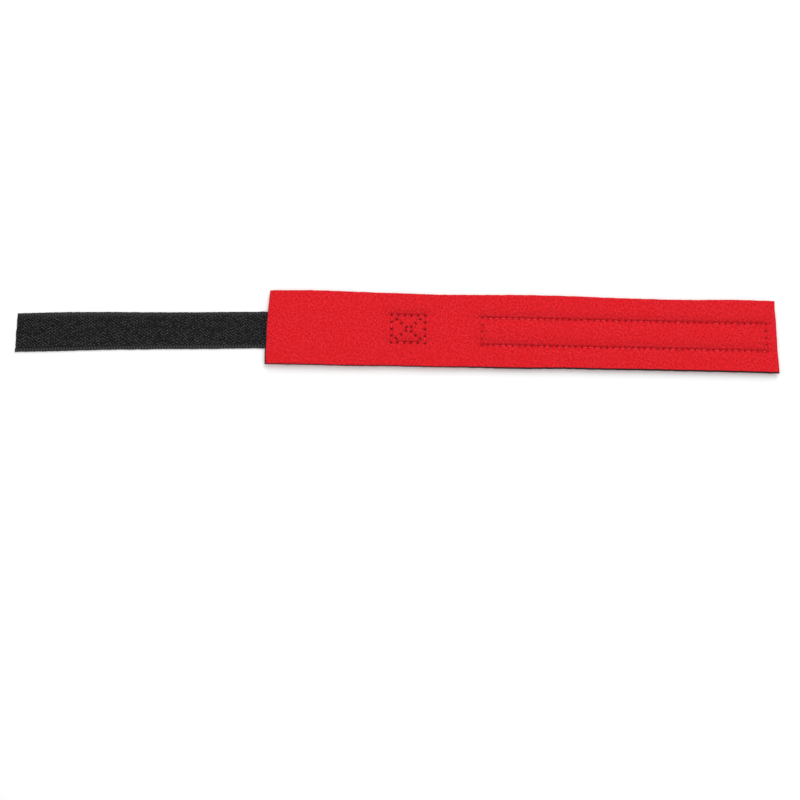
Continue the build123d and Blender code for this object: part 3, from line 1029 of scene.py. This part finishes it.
for k, piece, a, b in skinPieces:
    bendWith(piece)
for k, piece, a, b in outerPieces:
    bendWith(piece)
for k, piece, a, b in foamPieces:
    bendWith(piece)
for made, slotName in ((tapePieces, "black_hook_tape"), (loopPieces, "black_loop_tape"),
        (hookPieces, "black_hook_tape"), (pilePieces, "black_loop_tape")):
    for k, piece, *span in made:
        bendWith(piece)
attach(frayPiece, chain[0])
for stem, made in threadPieces.items():
    for k, piece in made:
        bendWith(piece)

# each piece stands for the nodes of the body it starts on, and the last also for the body it ends on
for made, stem in ((skinPieces, "jersey_faces"), (foamPieces, "neoprene_core")):
    for number, (k, piece, a, b) in enumerate(made, 1):
        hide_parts(f"{stem}_{number:02d}", *([f"{stem}_14"] if number == len(made) else []))
for k, piece, a, b in outerPieces:
    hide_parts(f"jersey_faces_{k - firstBandBend + 1:02d}",
                *(["jersey_faces_14"] if k == lastBend else []))
for k, piece, *span in tapePieces + hookPieces:
    if k < tailCount:
        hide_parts(f"hook_tail_{tailCount - k:02d}",
                    *(["hook_tape_sewn_01"] if k == tailCount - 1 else []))
    else:
        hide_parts(f"hook_tape_sewn_{min(k - tailCount + 2, sewnCount):02d}")
for k, piece, *span in loopPieces + pilePieces:
    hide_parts(f"loop_tape_{max(1, k - patchBefore):02d}",
                *(["loop_tape_08"] if k == lastBend else []))
for k, piece in threadPieces["patchSeamThread"]:
    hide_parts(f"loop_seam_thread_{max(1, k - patchBefore):02d}",
                *(["loop_seam_thread_08"] if k == lastBend else []))
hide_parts("box_stitch_top")
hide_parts("box_stitch_bobbin")


stage = {
    "floor": "#FCFCFC", "floorSize": 6.0,
    "overheadPower": 8.5, "overheadSize": 1.8, "overheadPlace": (0.1, -0.1, 1.3),
    "backPower": 7.0, "backSize": 1.0, "backPlace": (0.15, 0.85, 0.90), "surround": 0.56,
}
floorMesh = bpy.data.meshes.new("floor")
half = stage["floorSize"] / 2
floorMesh.from_pydata([(-half, -half, -0.0002), (half, -half, -0.0002), (half, half, -0.0002),
        (-half, half, -0.0002)], [], [(0, 1, 2, 3)])
floor = addObject("floor", floorMesh)
# matt white paper sweep
paper, tree, output = newMaterial("whitePaper")
place = addNode(tree, "ShaderNodeTexCoord")
tooth = addNode(tree, "ShaderNodeTexNoise", {},
                {"Vector": place.outputs["Object"], "Scale": 40.0, "Detail": 3.0})
bump = addNode(tree, "ShaderNodeBump", {}, {"Height": tooth.outputs["Fac"], "Strength": 0.02,
        "Distance": 0.0005})
shader = addNode(tree, "ShaderNodeBsdfPrincipled", {},
                 {"Base Color": linearColour(stage["floor"]), "Roughness": 0.95,
        "Specular IOR Level": 0.1, "Normal": bump.outputs["Normal"]})
tree.links.new(shader.outputs[0], output.inputs[0])
floorMesh.materials.append(paper)
floor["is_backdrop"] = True

for label in ("overhead", "back"):
    lamp = bpy.data.lights.new(label, "AREA")
    lamp.energy, lamp.size = stage[label + "Power"], stage[label + "Size"]
    lampObject = addObject(label, lamp)
    lampObject.location = stage[label + "Place"]
    lampObject.rotation_euler = (Vector((0, 0, 0)) - lampObject.location).to_track_quat("-Z", "Y").to_euler()
world = bpy.data.worlds.new("studio")
bpy.context.scene.world = world
world.use_nodes = True
world.node_tree.nodes["Background"].inputs[0].default_value = (1, 1, 1, 1)
world.node_tree.nodes["Background"].inputs[1].default_value = stage["surround"]
bpy.context.scene.view_settings.view_transform = "Standard"

view = {
    "lens": 56.25, "distance": 0.7705,
    "tilt": 12.0,            # degrees off straight down
    "turn": 1.32,            # degrees round the strap
    "aim": (0.0039, -0.0444, 0.0),
}
camera = addObject("camera", bpy.data.cameras.new("camera"))
camera.data.lens, camera.data.sensor_width = view["lens"], 36.0
tilt, turn = math.radians(view["tilt"]), Matrix.Rotation(math.radians(view["turn"]), 3, "Z")
back = turn @ Vector((0, -math.sin(tilt), math.cos(tilt)))
camera.location = Vector(view["aim"]) + back * view["distance"]
axes = Matrix((turn @ Vector((1, 0, 0)), turn @ Vector((0, math.cos(tilt), math.sin(tilt))),
               back)).transposed()
camera.rotation_euler = axes.to_euler()
bpy.context.scene.camera = camera
print("stage set")

low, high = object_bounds()
